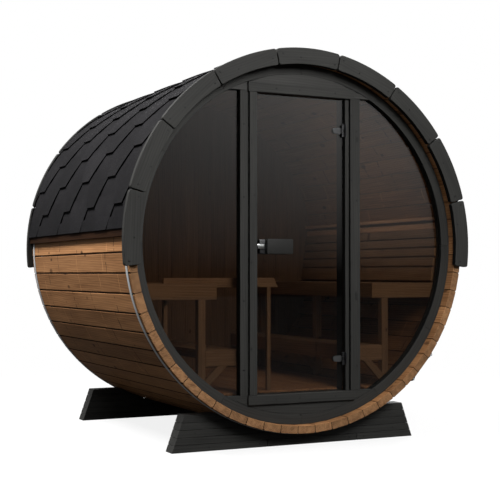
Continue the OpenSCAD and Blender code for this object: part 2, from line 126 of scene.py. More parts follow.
RING_BOARDS = 12
RING_WIDTH = 0.054
REBATE_DEPTH = 0.018
REBATE_WIDTH = 0.022
JAMB_GAP = 0.006
POST_SCREWS = (0.62, 0.24, -0.3, -0.66)
JAMB_SCREWS = {  # share of the width, height from the axis, radius
    "door_jamb_left": (
        (0.5, 0.68, 0.0045), (0.25, 0.54, 0.004), (0.25, 0.52, 0.004),
        (0.62, 0.25, 0.0045), (0.2, -0.1, 0.006), (0.2, -0.55, 0.006),
    ),
    "door_jamb_right": ((0.3, 0.7, 0.004), (0.3, 0.35, 0.004), (0.3, -0.1, 0.004), (0.3, -0.5, 0.004)),
}
HEAD_SCREWS = (-0.16, -0.02, 0.2)
HINGE_SPLIT = spans("frame_hinges")[0] - 0.001
LOCK_PLATE = 0.014
HANDLE_GRIP = 0.0257
LATCH_INSET = 0.017
LATCH_LENGTH = 0.046
LATCH_HALF = 0.013
LOCK_SCREW_RISE = 0.027

REAR_BOARDS = 20
FLOOR_COUNT = 10
FLOOR_GAP = 0.004
BOARD = 0.021
LEG = 0.041
APRON = 0.083
SLAT_GAP = 0.006
TOUCH = 0.0002
BRACE_WIDTH = 0.038
BRACE_REACH = 0.122
BACK_SLAT = 0.016
BACK_HEIGHTS = (0.078, 0.050, 0.046, 0.046, 0.050, 0.0335)
BACK_GAPS = (0.008, 0.008, 0.008, 0.008, 0.0005, 0.0)
BACK_FOOT, BACK_HEAD, BACK_LEAN = 0.012, 0.360, 0.052
CAP_HEIGHT = 0.018
CAP_WIDTH = 0.044
GUARD_LEG = 0.022
GUARD_HEIGHT = 0.050

GLASS_MIRROR = 0.053
SKY_LOW = 0.02
SKY_HIGH = 0.72
SKY_CURVE = 1.7
FLOOR_TONE = 0.028
FLOOR_WHITE = 0.86
CAMERA_PLACE = (-2.911, -6.075, 0.911)
CAMERA_TURN = (math.pi / 2 + 0.021, 0.0, -0.459)
CAMERA_LENS = 81.3
LAMPS = (  # name, place, target, size, power, cone in degrees
    ("key", (-4.3, 0.4, 7.8), (0.0, 0.0, 1.0), 2.6, 1270, 180),
    ("front", (-0.1, -4.4, 3.1), (0.0, -0.9, 1.2), 1.7, 158, 180),
    ("inside", (-0.2, -0.5, 1.8), (0.95, -0.05, 1.22), 0.3, 0.5, 78),
    ("back", (4.5, 5.0, 5.5), (0.0, 0.0, 1.0), 4.0, 520, 180),
)

# colours of wood, each as pale, dark and knot
BLACK = (0.036, 0.0355, 0.0328), (0.0155, 0.0153, 0.0142), (0.012, 0.012, 0.011)
# Painted light: black stain made lighter for the board above the door, as if it were more lit under the roof trim.
PANEL_LIT = (0.050, 0.049, 0.046), (0.024, 0.0236, 0.022), BLACK[2]
# Painted shade: near-black for the inner sides of the ring and trims and the left and right sides of posts and jambs.
EDGE_SHADE = (0.006, 0.006, 0.0058), (0.003, 0.003, 0.0029), (0.002, 0.002, 0.002)
STAVE = (0.475, 0.238, 0.103), (0.215, 0.096, 0.038), (0.065, 0.028, 0.013)
# Painted shade: near-black wood for the sides of the V grooves between staves.
GROOVE_SHADE = (0.034, 0.014, 0.006), (0.016, 0.007, 0.003), (0.01, 0.005, 0.003)
INSIDE = (0.44, 0.262, 0.150), (0.225, 0.128, 0.069), STAVE[2]
REAR = (0.25, 0.146, 0.085), (0.115, 0.066, 0.038), STAVE[2]
# Floor boards: natural wood, painted paler than the other inside wood as light falling through the door.
FLOOR_LIT = (0.72, 0.39, 0.20), (0.38, 0.18, 0.082), STAVE[2]
# Painted highlight: pale orange wood for the backrest's cap and top strip, as a stripe of light.
LIT_STRIPE = (0.86, 0.50, 0.28), (0.55, 0.29, 0.15), STAVE[2]
# Dark brown batten wood, painted darker still as the shade under the shingles' overhang.
BATTEN_SHADED = (0.032, 0.0142, 0.0068), (0.010, 0.0045, 0.0024), (0.006, 0.003, 0.002)


# ---------------------------------------------------------------- materials

AXIS_ORDER = {"x": (X, Y, Z), "y": (Y, X, Z), "z": (Z, X, Y)}


class Tree:
    """The nodes of a material or of the world, with short ways to add and join them."""

    def __init__(self, owner):
        owner.use_nodes = True
        self.owner = owner
        self.links = owner.node_tree.links
        self.nodes = owner.node_tree.nodes

    def feed(self, socket, value):
        """Joins a socket to another one, or sets it to a plain value."""
        if hasattr(value, "links"):
            self.links.new(value, socket)
        elif socket.type == "RGBA":
            socket.default_value = (*value, 1.0)
        else:
            socket.default_value = value

    def add(self, kind, **values):
        """A new node, with its settings and inputs given by name."""
        made = self.nodes.new("ShaderNode" + kind)
        for key, value in values.items():
            if hasattr(made, key):
                setattr(made, key, value)
            else:
                self.feed(made.inputs[key.replace("_", " ")], value)
        return made

    def surface(self, **values):
        """Sets inputs of the material's Principled shader."""
        shader = self.nodes["Principled BSDF"]
        for key, value in values.items():
            self.feed(shader.inputs[key.replace("_", " ")], value)

    def show(self, share, first, second):
        """Makes the surface a mix of two shaders."""
        both = self.add("MixShader")
        for socket, value in zip(both.inputs, (share, first, second)):
            self.feed(socket, value)
        self.feed(self.nodes["Material Output"].inputs["Surface"], both.outputs[0])

    def place(self):
        """The object's own coordinates."""
        return self.add("TexCoord").outputs["Object"]

    def parts(self, vector):
        """The three parts of a vector."""
        return self.add("SeparateXYZ", Vector=vector).outputs

    def channels(self, colour):
        """The three parts of a colour."""
        return self.add("SeparateColor", Color=colour).outputs

    def grain(self, axis=None):
        """Coordinates with the grain along the first axis: each board's own, or the object's own."""
        if axis is None:
            return self.add("Attribute", attribute_name="grain").outputs["Vector"]
        parts = self.parts(self.place())
        joined = self.add("CombineXYZ")
        for socket, index in zip(joined.inputs, AXIS_ORDER[axis]):
            self.feed(socket, parts[index])
        return joined.outputs[0]

    def vectors(self, operation, first, second):
        """One sum on two vectors."""
        made = self.add("VectorMath", operation=operation)
        self.feed(made.inputs[0], first)
        self.feed(made.inputs[1], second)
        return made.outputs[0]

    def noise(self, vector, stretch, scale, detail, **more):
        """Noise along a vector, which is stretched first if stretch is given."""
        if stretch:
            vector = self.vectors("MULTIPLY", vector, stretch)
        return self.add("TexNoise", Vector=vector, Scale=scale, Detail=detail, **more).outputs

    def maths(self, operation, first, second, clamp=False):
        """One sum on two numbers."""
        made = self.add("Math", operation=operation, use_clamp=clamp)
        self.feed(made.inputs[0], first)
        self.feed(made.inputs[1], second)
        return made.outputs[0]

    def times(self, first, *others):
        """The product of several numbers."""
        for other in others:
            first = self.maths("MULTIPLY", first, other)
        return first

    def clamped(self, value):
        """A number held between 0 and 1."""
        return self.add("Clamp", Value=value).outputs[0]

    def mapped(self, value, to_low, to_high=1.0, from_low=0.0, from_high=1.0):
        """A number carried from one range to another."""
        return self.add(
            "MapRange", Value=value, From_Min=from_low, From_Max=from_high, To_Min=to_low, To_Max=to_high
        ).outputs[0]

    def ramp(self, source, *stops):
        """A colour ramp with (place, colour) stops."""
        made = self.add("ValToRGB", Fac=source)
        points = made.color_ramp.elements
        while len(points) < len(stops):
            points.new(0.5)
        for point, (place, colour) in zip(points, stops):
            point.position = place
            point.color = (*colour, 1.0)
        return made.outputs["Color"]

    def mix(self, factor, first, second, blend="MIX"):
        """A mix of two colours."""
        made = self.add("Mix", data_type="RGBA", blend_type=blend)
        for index, value in ((0, factor), (6, first), (7, second)):
            self.feed(made.inputs[index], value)
        return made.outputs[2]

    def either(self, factor, first, second):
        """A mix of two numbers."""
        made = self.add("Mix")
        for index, value in ((0, factor), (2, first), (3, second)):
            self.feed(made.inputs[index], value)
        return made.outputs[0]

    def rays(self, *kinds):
        """1 for the kinds of ray that are given, and 0 for the rest."""
        path = self.add("LightPath").outputs
        total = path[kinds[0]]
        for kind in kinds[1:]:
            total = self.maths("MAXIMUM", total, path[kind])
        return total

    def bump(self, height, strength, distance):
        """A normal roughened by a height."""
        return self.add("Bump", Height=height, Strength=strength, Distance=distance).outputs[0]

    def toned(self, colour, spread):
        """A colour made lighter or darker by each board's own tone."""
        tone = self.add("Attribute", attribute_name="tone").outputs["Fac"]
        value = self.maths("ADD", self.times(tone, spread), 1.0 - spread / 2)
        return self.add("HueSaturation", Value=value, Color=colour).outputs["Color"]


def new_material(name):
    """The node tree of a new material."""
    return Tree(bpy.data.materials.new(name))


def wood(
    name, colours, rough=0.6, contrast=1.0, axis=None, tone_range=0.24, knot_share=0.3, bump=0.35, shine=0.2,
    cracked=False,
):
    """Planed softwood: long streaks, growth rings, knots, and a tone of its own for each board."""
    pale, dark, knot = colours
    tree = new_material(name)
    grain = tree.grain(axis)
    sway = tree.noise(grain, (1.3, 5.0, 5.0), 1.0, 2.0)
    sway = tree.vectors("MULTIPLY", sway["Color"], (0.0, 0.03, 0.03))
    bent = tree.vectors("ADD", grain, sway)

    rings = tree.add(
        "TexWave", wave_type="BANDS", bands_direction="DIAGONAL", wave_profile="SIN",
        Vector=tree.vectors("MULTIPLY", bent, (0.03, 1.0, 1.0)),
        Scale=47.0, Distortion=2.6, Detail=3.0, Detail_Scale=0.35,
    )
    streaks = tree.noise(bent, (3.2, 95.0, 95.0), 1.0, 9.0, Roughness=0.62)
    patches = tree.noise(bent, (2.0, 9.0, 9.0), 1.0, 3.0)
    figure = tree.mix(0.86, rings.outputs["Color"], streaks["Color"])
    figure = tree.mix(0.40, figure, patches["Color"])
    spread = 0.135 / contrast
    base = tree.ramp(figure, (0.5 - spread, dark), (0.5 + spread, pale))

    rough_edge = tree.noise(grain, None, 60.0, 3.0)["Color"]
    ragged = tree.vectors("ADD", bent, tree.vectors("MULTIPLY", rough_edge, (0.014, 0.009, 0.0)))
    cells = tree.add(
        "TexVoronoi", feature="F1", voronoi_dimensions="2D", Scale=1.0,
        Vector=tree.vectors("MULTIPLY", ragged, (4.6, 8.5, 8.5)),
    ).outputs
    size = tree.channels(cells["Color"])
    reach = tree.times(tree.maths("SUBTRACT", size[0], 1.0 - knot_share), 0.38)
    inside = tree.maths("SUBTRACT", reach, cells["Distance"])
    shown = tree.clamped(tree.times(reach, 60.0))
    halo = tree.clamped(tree.times(tree.maths("ADD", inside, 0.05), 8.0))
    spot = tree.clamped(tree.times(inside, 40.0))
    depth = tree.maths("ADD", tree.times(size[1], 0.6), 0.3)
    base = tree.mix(tree.times(halo, shown, 0.5), base, dark)
    base = tree.mix(tree.times(spot, shown, depth), base, knot)
    if cracked:
        base = cross_marks(tree, grain, base, pale, knot)
    if axis is None:
        base = tree.toned(base, tone_range)
    tree.surface(
        Base_Color=base, Roughness=tree.mapped(streaks["Fac"], rough - 0.07, rough + 0.09),
        Normal=tree.bump(figure, bump, 0.0006), Specular_IOR_Level=shine,
    )
    return tree.owner


def cross_marks(tree, grain, base, pale, dark):
    """Thin broken marks across a board, as beside knots: some dark, some pale."""
    bend = tree.times(tree.noise(grain, None, 22.0, 2.0)["Fac"], 0.09)
    along = tree.maths("ADD", tree.times(tree.parts(grain)[0], 3.0), bend)
    marks = tree.add("TexVoronoi", feature="F1", voronoi_dimensions="1D", Scale=1.0, W=along).outputs
    line = tree.clamped(tree.times(tree.maths("SUBTRACT", 0.0125, marks["Distance"]), 260.0))
    broken = tree.noise(grain, (0.3, 1.0, 1.0), 30.0, 1.0)["Fac"]
    shown = tree.clamped(tree.times(tree.maths("SUBTRACT", broken, 0.40), 14.0))
    is_dark = tree.maths("GREATER_THAN", tree.channels(marks["Color"])[0], 0.34)
    tint = tree.mix(is_dark, tuple(min(1.0, c * 1.2) for c in pale), dark)
    return tree.mix(tree.times(line, shown, 0.92), base, tint)


def end_grain(name, pale, dark):
    """The sawn ends of the staves, with arcs of growth rings and fine pores."""
    tree = new_material(name)
    flat = tree.vectors("MULTIPLY", tree.grain(), (0.02, 1.0, 1.0))
    rings = tree.add(
        "TexWave", wave_type="BANDS", bands_direction="DIAGONAL", Vector=flat, Scale=70.0, Distortion=3.0, Detail=2.0,
    )
    pores = tree.noise(flat, None, 260.0, 6.0, Roughness=0.7)
    blotch = tree.noise(flat, None, 38.0, 3.0)
    figure = tree.mix(0.55, rings.outputs["Color"], pores["Color"])
    figure = tree.mix(0.45, figure, blotch["Color"])
    tree.surface(
        Base_Color=tree.toned(tree.ramp(figure, (0.36, dark), (0.62, pale)), 0.34),
        Normal=tree.bump(figure, 0.4, 0.0008), Roughness=0.8, Specular_IOR_Level=0.25,
    )
    return tree.owner


def shingle_material(name, level):
    """Bitumen shingles covered with fine mineral granules, at a level of brightness."""
    tree = new_material(name)
    place = tree.place()
    grit = tree.add("TexVoronoi", feature="F1", Scale=380.0, Vector=place)
    shade = tree.channels(grit.outputs["Color"])[0]
    stops = ((0.0, (0.017, 0.0165, 0.0178)), (0.8, (0.034, 0.0325, 0.0345)), (1.0, (0.062, 0.060, 0.064)))
    grains = tree.ramp(shade, *((at, tuple(c * level for c in colour)) for at, colour in stops))
    cloud = tree.noise(place, None, 6.0, 6.0)["Fac"]
    soft = tree.ramp(cloud, (0.35, (0.80, 0.80, 0.82)), (0.65, (1.0, 0.99, 1.0)))
    tree.surface(
        Base_Color=tree.toned(tree.mix(1.0, grains, soft, "MULTIPLY"), 0.34),
        Normal=tree.bump(shade, 0.5, 0.001), Roughness=0.92, Specular_IOR_Level=0.07,
    )
    return tree.owner


def metal(name, colour, rough, metallic, speckle=0.12, streak=(1.0, 1.0, 1.0), shine=0.5, black_beyond=None):
    """Metal or painted metal with a slightly uneven gloss, and black beyond a place along X if one is given."""
    tree = new_material(name)
    cloud = tree.noise(tree.place(), streak, 55.0, 6.0)["Fac"]
    dim = tuple(c * (1 - speckle) for c in colour)
    bright = tuple(min(1.0, c * (1 + speckle)) for c in colour)
    shade = tree.ramp(cloud, (0.3, dim), (0.7, bright))
    if black_beyond is not None:
        beyond = tree.maths("GREATER_THAN", tree.parts(tree.place())[0], black_beyond)
        shade = tree.mix(beyond, shade, (0.006, 0.006, 0.006))
    tree.surface(
        Base_Color=shade, Roughness=tree.mapped(cloud, max(0.02, rough - 0.07), rough + 0.07),
        Metallic=metallic, Specular_IOR_Level=shine,
    )
    return tree.owner


def smoked_glass():
    """Smoked glass: each face passes light with a brown tint and reflects a little of the room."""
    tree = new_material("smoked_glass")
    tree.nodes.remove(tree.nodes["Principled BSDF"])
    clear = tree.add("BsdfTransparent", Color=(0.655, 0.63, 0.60))
    ripple = tree.noise(tree.place(), None, 1.3, 1.0)["Fac"]
    shine = tree.add("BsdfGlossy", Color=(1.0, 1.0, 1.0), Roughness=0.02, Normal=tree.bump(ripple, 0.04, 0.01))
    facing = tree.add("LayerWeight", Blend=0.5).outputs["Facing"]
    grazing = tree.maths("POWER", facing, 5.0)
    share = tree.maths("ADD", tree.times(grazing, 1.0 - GLASS_MIRROR), GLASS_MIRROR)
    tree.show(share, clear.outputs[0], shine.outputs[0])
    return tree.owner


def lining_material(outer, inner):
    """The front wall's lining: natural wood on its inner face, black stain on its cut edges."""
    tree = new_material("lining_wood")
    parts = tree.parts(tree.place())
    streaks = tree.noise(tree.grain("z"), (3.2, 95.0, 95.0), 1.0, 8.0, Roughness=0.62)["Fac"]
    bare, stain = (tree.ramp(streaks, (0.35, dark), (0.65, pale)) for pale, dark, _ in (inner, outer))
    board = tree.add("Math", operation="FRACT")
    tree.feed(board.inputs[0], tree.times(parts[0], 1 / 0.096))
    seam = tree.maths("LESS_THAN", board.outputs[0], 0.045)
    bare = tree.mix(seam, bare, tuple(c * 0.3 for c in inner[1]))
    on_face = tree.maths("GREATER_THAN", parts[1], spans("front_lining")[3] - 0.0006)
    tree.surface(Base_Color=tree.mix(on_face, stain, bare), Normal=tree.bump(streaks, 0.3, 0.0006), Roughness=0.65)
    return tree.owner


black_wood = wood("black_stained_wood", BLACK, 0.64, 0.85, tone_range=0.14, bump=0.5)
wall_top_lit_wood = wood("black_stain_with_painted_light", PANEL_LIT, 0.62, 0.85, bump=0.4)
shade_on_edges_wood = wood("painted_shade_on_board_sides", EDGE_SHADE, 0.7, shine=0.08)
stave_wood = wood("stave_wood", STAVE, 0.58, 1.1, tone_range=0.42, knot_share=0.36, shine=0.15, cracked=True)
stave_groove_shade = wood("stave_groove_shade", GROOVE_SHADE, 0.7, shine=0.05)
stave_ends = end_grain("stave_end_grain", (0.40, 0.212, 0.096), (0.085, 0.036, 0.014))
inside_wood = wood("inside_wood", INSIDE, 0.62, 0.8, knot_share=0.22)
rear_inside = wood("rear_wall_inside", REAR, 0.66, 0.8, knot_share=0.2, shine=0.1)
inside_across = wood("inside_wood_across", INSIDE, 0.62, 0.8, axis="x")
floor_wood_painted_light = wood("floor_wood_painted_light", FLOOR_LIT, 0.6, 0.9, knot_share=0.22)
lit_stripe_wood = wood("backrest_painted_highlight", LIT_STRIPE, 0.6, 0.8, knot_share=0.2)
shaded_batten_wood = wood("batten_wood_painted_shade", BATTEN_SHADED, 0.7, 1.2, shine=0.04)
lining_wood = lining_material(BLACK, INSIDE)
shingle = shingle_material("shingle_granules", 0.42)
# Cut edges: dark bitumen, painted darker still as the shade under each tab's edge.
shingle_edge_shade = shingle_material("shingle_cut_edge_and_shade", 0.08)
hoop_steel = metal("galvanised_steel", (0.60, 0.62, 0.635), 0.40, 0.12, streak=(1.0, 12.0, 1.0))
handle_paint = metal("handle_grey", (0.0185, 0.0182, 0.0172), 0.55, 0.0, 0.3, (6.0, 1.0, 6.0), 0.15)
black_paint = metal("black_hardware", (0.010, 0.010, 0.011), 0.38, 0.0)
hinge_paint = metal("hinge_grey", (0.055, 0.056, 0.057), 0.35, 0.3, black_beyond=HINGE_SPLIT)
latch_steel = metal("latch_steel", (0.50, 0.51, 0.50), 0.25, 1.0, 0.06)
screw_black = metal("black_screw", (0.008, 0.008, 0.008), 0.5, 0.6)
glass = smoked_glass()


# ---------------------------------------------------------------- building boards


def ordered(*axes):
    """A grain that takes a point's own coordinates in an order."""
    return lambda point: tuple(point[axis] for axis in axes)


ALONG_X = ordered(X, Z, Y)
ALONG_Y = ordered(Y, X, Z)
ALONG_Z = ordered(Z, X, Y)
AS_PLACED = ordered(X, Y, Z)


def polar(angle, radius):
    """Point (x, z) at an angle in degrees and a radius from the barrel's axis, in the room's frame."""
    turn = math.radians(angle)
    return radius * math.cos(turn), AXIS_Z + radius * math.sin(turn)


def out_across(angle):
    """Unit (x, z) vectors away from the barrel's axis and square to that, at an angle in degrees."""
    turn = math.radians(angle)
    return Vector((math.cos(turn), math.sin(turn))), Vector((-math.sin(turn), math.cos(turn)))


def half_chord(offset, radius=LINING_R):
    """Half the length of a circle's chord that passes at an offset from its middle."""
    return math.sqrt(max(0.0, radius**2 - offset**2))


def circle_arc(radius, z0, z1, steps):
    """Points on the right half of a circle about the axis, from one height to the other."""
    a0, a1 = (math.asin(max(-1.0, min(1.0, (z - AXIS_Z) / radius))) for z in (z0, z1))
    angles = [a0 + (a1 - a0) * i / steps for i in range(steps + 1)]
    return [(radius * math.cos(angle), AXIS_Z + radius * math.sin(angle)) for angle in angles]


def mirrored(points, side=-1):
    """Points (x, z) on the left (-1) or right (1), given for the right."""
    return [(side * x, z) for x, z in points]


class Piece:
    """Collects boards and other solids into one mesh, each with its own grain and tone."""

    def __init__(self, seed):
        self.random = random.Random(seed)
        self.verts = []
        self.faces = []
        self.grain = []
        self.tone = []
        self.slots = []

    def add(self, mesh, grain_of, slot=0, tone=None):
        """Takes in a bmesh. grain_of gives a point's grain coordinates, slot is or gives a face's material slot."""
        mesh.normal_update()
        mesh.verts.index_update()
        start = len(self.verts)
        offset = Vector([self.random.uniform(0, 40) for _ in range(3)])
        tone = self.random.random() if tone is None else tone
        for vert in mesh.verts:
            self.verts.append(vert.co.copy())
            self.grain.append(Vector(grain_of(vert.co)) + offset)
            self.tone.append(tone)
        for face in mesh.faces:
            self.faces.append([start + vert.index for vert in face.verts])
            self.slots.append(slot(face) if callable(slot) else slot)
        mesh.free()

    def prism(self, outline, y0, y1, bevel=0.002, grain_of=ALONG_Y, slot=0, segments=2, tone=None):
        """A front view outline of (x, z) points, carried from y0 to y1, with its sharp edges rounded."""
        mesh = bmesh.new()
        front, rear = ([mesh.verts.new((x, y, z)) for x, z in outline] for y in (y0, y1))
        mesh.faces.new(front)
        mesh.faces.new(rear[::-1])
        for i in range(len(outline)):
            j = (i + 1) % len(outline)
            mesh.faces.new((front[i], rear[i], rear[j], front[j]))
        self.finish_solid(mesh, bevel, segments)
        self.add(mesh, grain_of, slot, tone)

    def box(self, corner0, corner1, along="y", bevel=0.002, segments=2, slot=0):
        """A board between two corners, with its grain along one axis."""
        mesh = bmesh.new()
        bmesh.ops.create_cube(mesh, size=1.0)
        size = [b - a for a, b in zip(corner0, corner1)]
        middle = [(a + b) / 2 for a, b in zip(corner0, corner1)]
        bmesh.ops.scale(mesh, vec=size, verts=mesh.verts)
        bmesh.ops.translate(mesh, vec=middle, verts=mesh.verts)
        self.finish_solid(mesh, bevel, segments)
        self.add(mesh, ordered(*AXIS_ORDER[along]), slot)

    def bar(self, place, radius, length, sides, bevel=0.0005, slot=0):
        """A round or many sided bar about the third axis of a place, which is a matrix."""
        mesh = bmesh.new()
        bmesh.ops.create_cone(mesh, cap_ends=True, segments=sides, radius1=radius, radius2=radius, depth=length)
        bmesh.ops.transform(mesh, matrix=place, verts=mesh.verts)
        self.finish_solid(mesh, bevel, 1)
        self.add(mesh, AS_PLACED, slot)

    def finish_solid(self, mesh, bevel, segments):
        """Turns the faces outwards and rounds the sharp edges."""
        bmesh.ops.recalc_face_normals(mesh, faces=mesh.faces)
        if bevel:
            sharp = [edge for edge in mesh.edges if edge.calc_face_angle(0.0) > math.radians(25)]
            bmesh.ops.bevel(
                mesh, geom=sharp, offset=bevel, segments=segments, profile=0.5, affect="EDGES", clamp_overlap=True,
            )

    def make(self, name, node, slot, *materials, body="barrel"):
        """The finished object, riding on its body and standing for its CAD node."""
        mesh = bpy.data.meshes.new(name)
        mesh.from_pydata(self.verts, [], self.faces)
        grain = mesh.attributes.new("grain", "FLOAT_VECTOR", "POINT")
        grain.data.foreach_set("vector", [value for point in self.grain for value in point])
        tone = mesh.attributes.new("tone", "FLOAT", "POINT")
        tone.data.foreach_set("value", self.tone)
        mesh.polygons.foreach_set("material_index", self.slots)
        mesh.polygons.foreach_set("use_smooth", [True] * len(self.faces))
        for material in materials:
            mesh.materials.append(material)
        mesh.update()
        mesh.set_sharp_from_angle(angle=math.radians(16))
        piece = bpy.data.objects.new(name, mesh)
        bpy.context.scene.collection.objects.link(piece)
        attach(piece, body)
        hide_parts(node)


def arc_grain(radius):
    """Grain that follows the barrel round, for a board sawn to a curve."""

    def grain_of(point):
        x, z = point.x, point.z - AXIS_Z
        return math.atan2(z, x) * radius, math.hypot(x, z), point.y

    return grain_of


def chord_grain(angle):
    """Straight grain square to the radius at an angle, for a curved board sawn from a straight one."""
    turn = math.radians(angle)

    def grain_of(point):
        x, z = point.x, point.z - AXIS_Z
        return math.cos(turn) * z - math.sin(turn) * x, math.cos(turn) * x + math.sin(turn) * z, point.y

    return grain_of


def arc_board(
    piece, inner, outer, y0, y1, a0, a1, bevel=0.002, corner=0.0, steps=12, segments=2, grain_of=None, slot=0,
):
    """Part of a ring between two radii, two depths and two angles, with its corners eased by corner."""
    mesh = bmesh.new()
    sections = []
    for i in range(steps + 1):
        angle = a0 + (a1 - a0) * i / steps
        section = []
        for radius, y in ((inner, y0), (outer, y0), (outer, y1), (inner, y1)):
            x, z = polar(angle, radius)
            section.append(mesh.verts.new((x, y, z)))
        sections.append(section)
    for one, two in zip(sections, sections[1:]):
        for k in range(4):
            n = (k + 1) % 4
            mesh.faces.new((one[k], one[n], two[n], two[k]))
    mesh.faces.new(sections[0])
    mesh.faces.new(sections[-1][::-1])
    bmesh.ops.recalc_face_normals(mesh, faces=mesh.faces)
    if corner:
        ends = [mesh.edges.get((end[k], end[n])) for end in (sections[0], sections[-1]) for k, n in ((0, 3), (1, 2))]
        bmesh.ops.bevel(mesh, geom=ends, offset=corner, segments=3, profile=0.5, affect="EDGES")
    piece.finish_solid(mesh, bevel, segments)
    piece.add(mesh, grain_of or arc_grain(outer), slot)


def inner_side(face):
    """Slot 1 for the side of a ring that faces its axis, which takes a near-black painted shade, and 0 for the rest."""
    middle = face.calc_center_median()
    inwards = Vector((-middle.x, 0, AXIS_Z - middle.z)).normalized()
    return 1 if face.normal.dot(inwards) > 0.9 else 0


def upright_side(face):
    """Slot 2 for a board's left and right sides, which take a near-black painted shade, and 0 for the rest."""
    return 2 if abs(face.normal.x) > 0.9 else 0


# ---------------------------------------------------------------- barrel and roof


def stave_profile(half_inner, half_outer):
    """Cross section of a stave as (radius, half width) points: a V groove's side at each outer and inner edge."""
    right = [
        (INNER_R, half_inner - STAVE_GROOVE / 2), (INNER_R + STAVE_GROOVE / 2, half_inner),
        (BARREL_R - STAVE_GROOVE, half_outer - STAVE_GROOVE * (half_outer - half_inner) / (BARREL_R - INNER_R)),
        (BARREL_R, half_outer - STAVE_GROOVE),
    ]
    return right + [(radius, -half) for radius, half in reversed(right)]


def build_staves():
    """Four quarters of the barrel: staves with eased edges, a groove at each seam, and end grain."""
    step = 360 / STAVE_COUNT
    per_side = STAVE_COUNT // 4
    half_inner, half_outer = (
        radius * math.tan(math.radians(step / 2)) - STAVE_JOINT / 2 for radius in (INNER_R, BARREL_R)
    )
    for node, middle, seed in (
        ("staves_top", 90, 1), ("staves_right", 0, 2), ("staves_bottom", -90, 3), ("staves_left", 180, 4),
    ):
        piece = Piece(seed)
        for i in range(per_side):
            out, across = out_across(middle + (i - (per_side - 1) / 2) * step)
            places = [out * radius + across * half for radius, half in stave_profile(half_inner, half_outer)]

            def grain_of(point, out=out, across=across):
                flat = Vector((point.x, point.z - AXIS_Z))
                return point.y, flat.dot(across), flat.dot(out)

            # slot 2, the sides of the grooves, carries the painted shade
            def slot_of(face, across=across):
                if abs(Vector((face.normal.x, face.normal.z)).dot(across)) > 0.5:
                    return 2
                return 1 if abs(face.normal.y) > 0.9 else 0

            # painted light: a side's middle stave and its neighbours take fixed lit and shaded tones
            tone = SIDE_LIGHT_TONES.get(abs(i - per_side // 2)) if node in ("staves_left", "staves_right") else None
            outline = [(place.x, AXIS_Z + place.y) for place in places]
            piece.prism(outline, STAVES_FRONT, STAVES_REAR, STAVE_BEVEL, grain_of, slot_of, 1, tone)
        piece.make(node + "_boards", node, "stave_wood", stave_wood, stave_ends, stave_groove_shade)


def build_hoops():
    """Steel bands round the staves, with lugs, a bolt and its nuts at the lower right."""
    first, last = LUG_ANGLES
    for node, seed in (("front_hoop", 11), ("rear_hoop", 12)):
        _, _, y0, y1, z0, _ = spans(node)
        inner = AXIS_Z - z0 - HOOP_THICKNESS
        outer = inner + HOOP_THICKNESS
        piece = Piece(seed)
        arc_board(piece, inner, outer, y0, y1, last, first + 360, 0.0006, steps=175, segments=1)
        for angle in LUG_ANGLES:
            out, across = out_across(angle)
            corners = ((0.0, -LUG_HALF), (LUG_HEIGHT, -LUG_HALF), (LUG_HEIGHT, LUG_HALF), (0.0, LUG_HALF))
            places = [out * (inner + height) + across * half for height, half in corners]
            piece.prism([(place.x, AXIS_Z + place.y) for place in places], y0, y1, 0.0012)

        out, along = (Vector((v.x, 0, v.y)) for v in out_across((first + last) / 2))
        centre = Vector((0, (y0 + y1) / 2, AXIS_Z)) + out * (outer + LUG_HEIGHT / 2)
        half_span = outer * math.sin(math.radians((last - first) / 2)) + BOLT_PAST
        turn = Matrix((out, Vector((0, 1, 0)), along)).transposed().to_4x4()
        piece.bar(Matrix.Translation(centre) @ turn, BOLT_R, 2 * half_span, 20, slot=1)
        for inset in NUT_INSETS:
            for side in (-1, 1):
                place = Matrix.Translation(centre + along * (side * (half_span - inset))) @ turn
                piece.bar(place, NUT_R, NUT_LENGTH, 6, slot=1)
        piece.make(node + "_band", node, "hoop_steel", hoop_steel, screw_black)


def cut_edge(face):
    """Slot of a shingle's face: its granules on the outside, its cut edges elsewhere, dark bitumen painted near black
    as the shade under each tab.
    """
    middle = face.calc_center_median()
    out = Vector((middle.x, 0, middle.z - AXIS_Z)).normalized()
    return 0 if face.normal.dot(out) > 0.7 else 1


def top_and_under(angle, y, radius, thickness):
    """A point on a shingle's top, and the one under it."""
    (x0, z0), (x1, z1) = polar(angle, radius), polar(angle, radius - thickness)
    return (x0, y, z0), (x1, y, z1)


def slab(piece, rows):
    """A shingle through rows of points, each given with the one under it."""
    mesh = bmesh.new()
    rows = [[[mesh.verts.new(point) for point in pair] for pair in row] for row in rows]
    last_row, last = len(rows) - 1, len(rows[0]) - 1
    for i in range(last_row):
        one, two = rows[i], rows[i + 1]
        for k in range(last):
            for face in (0, 1):
                mesh.faces.new((one[k][face], one[k + 1][face], two[k + 1][face], two[k][face]))
        for k in (0, last):
            mesh.faces.new((one[k][0], two[k][0], two[k][1], one[k][1]))
    for row in (rows[0], rows[-1]):
        for k in range(last):
            mesh.faces.new((row[k][0], row[k][1], row[k + 1][1], row[k + 1][0]))
    piece.finish_solid(mesh, 0.0, 1)
    piece.add(mesh, ALONG_Y, cut_edge)


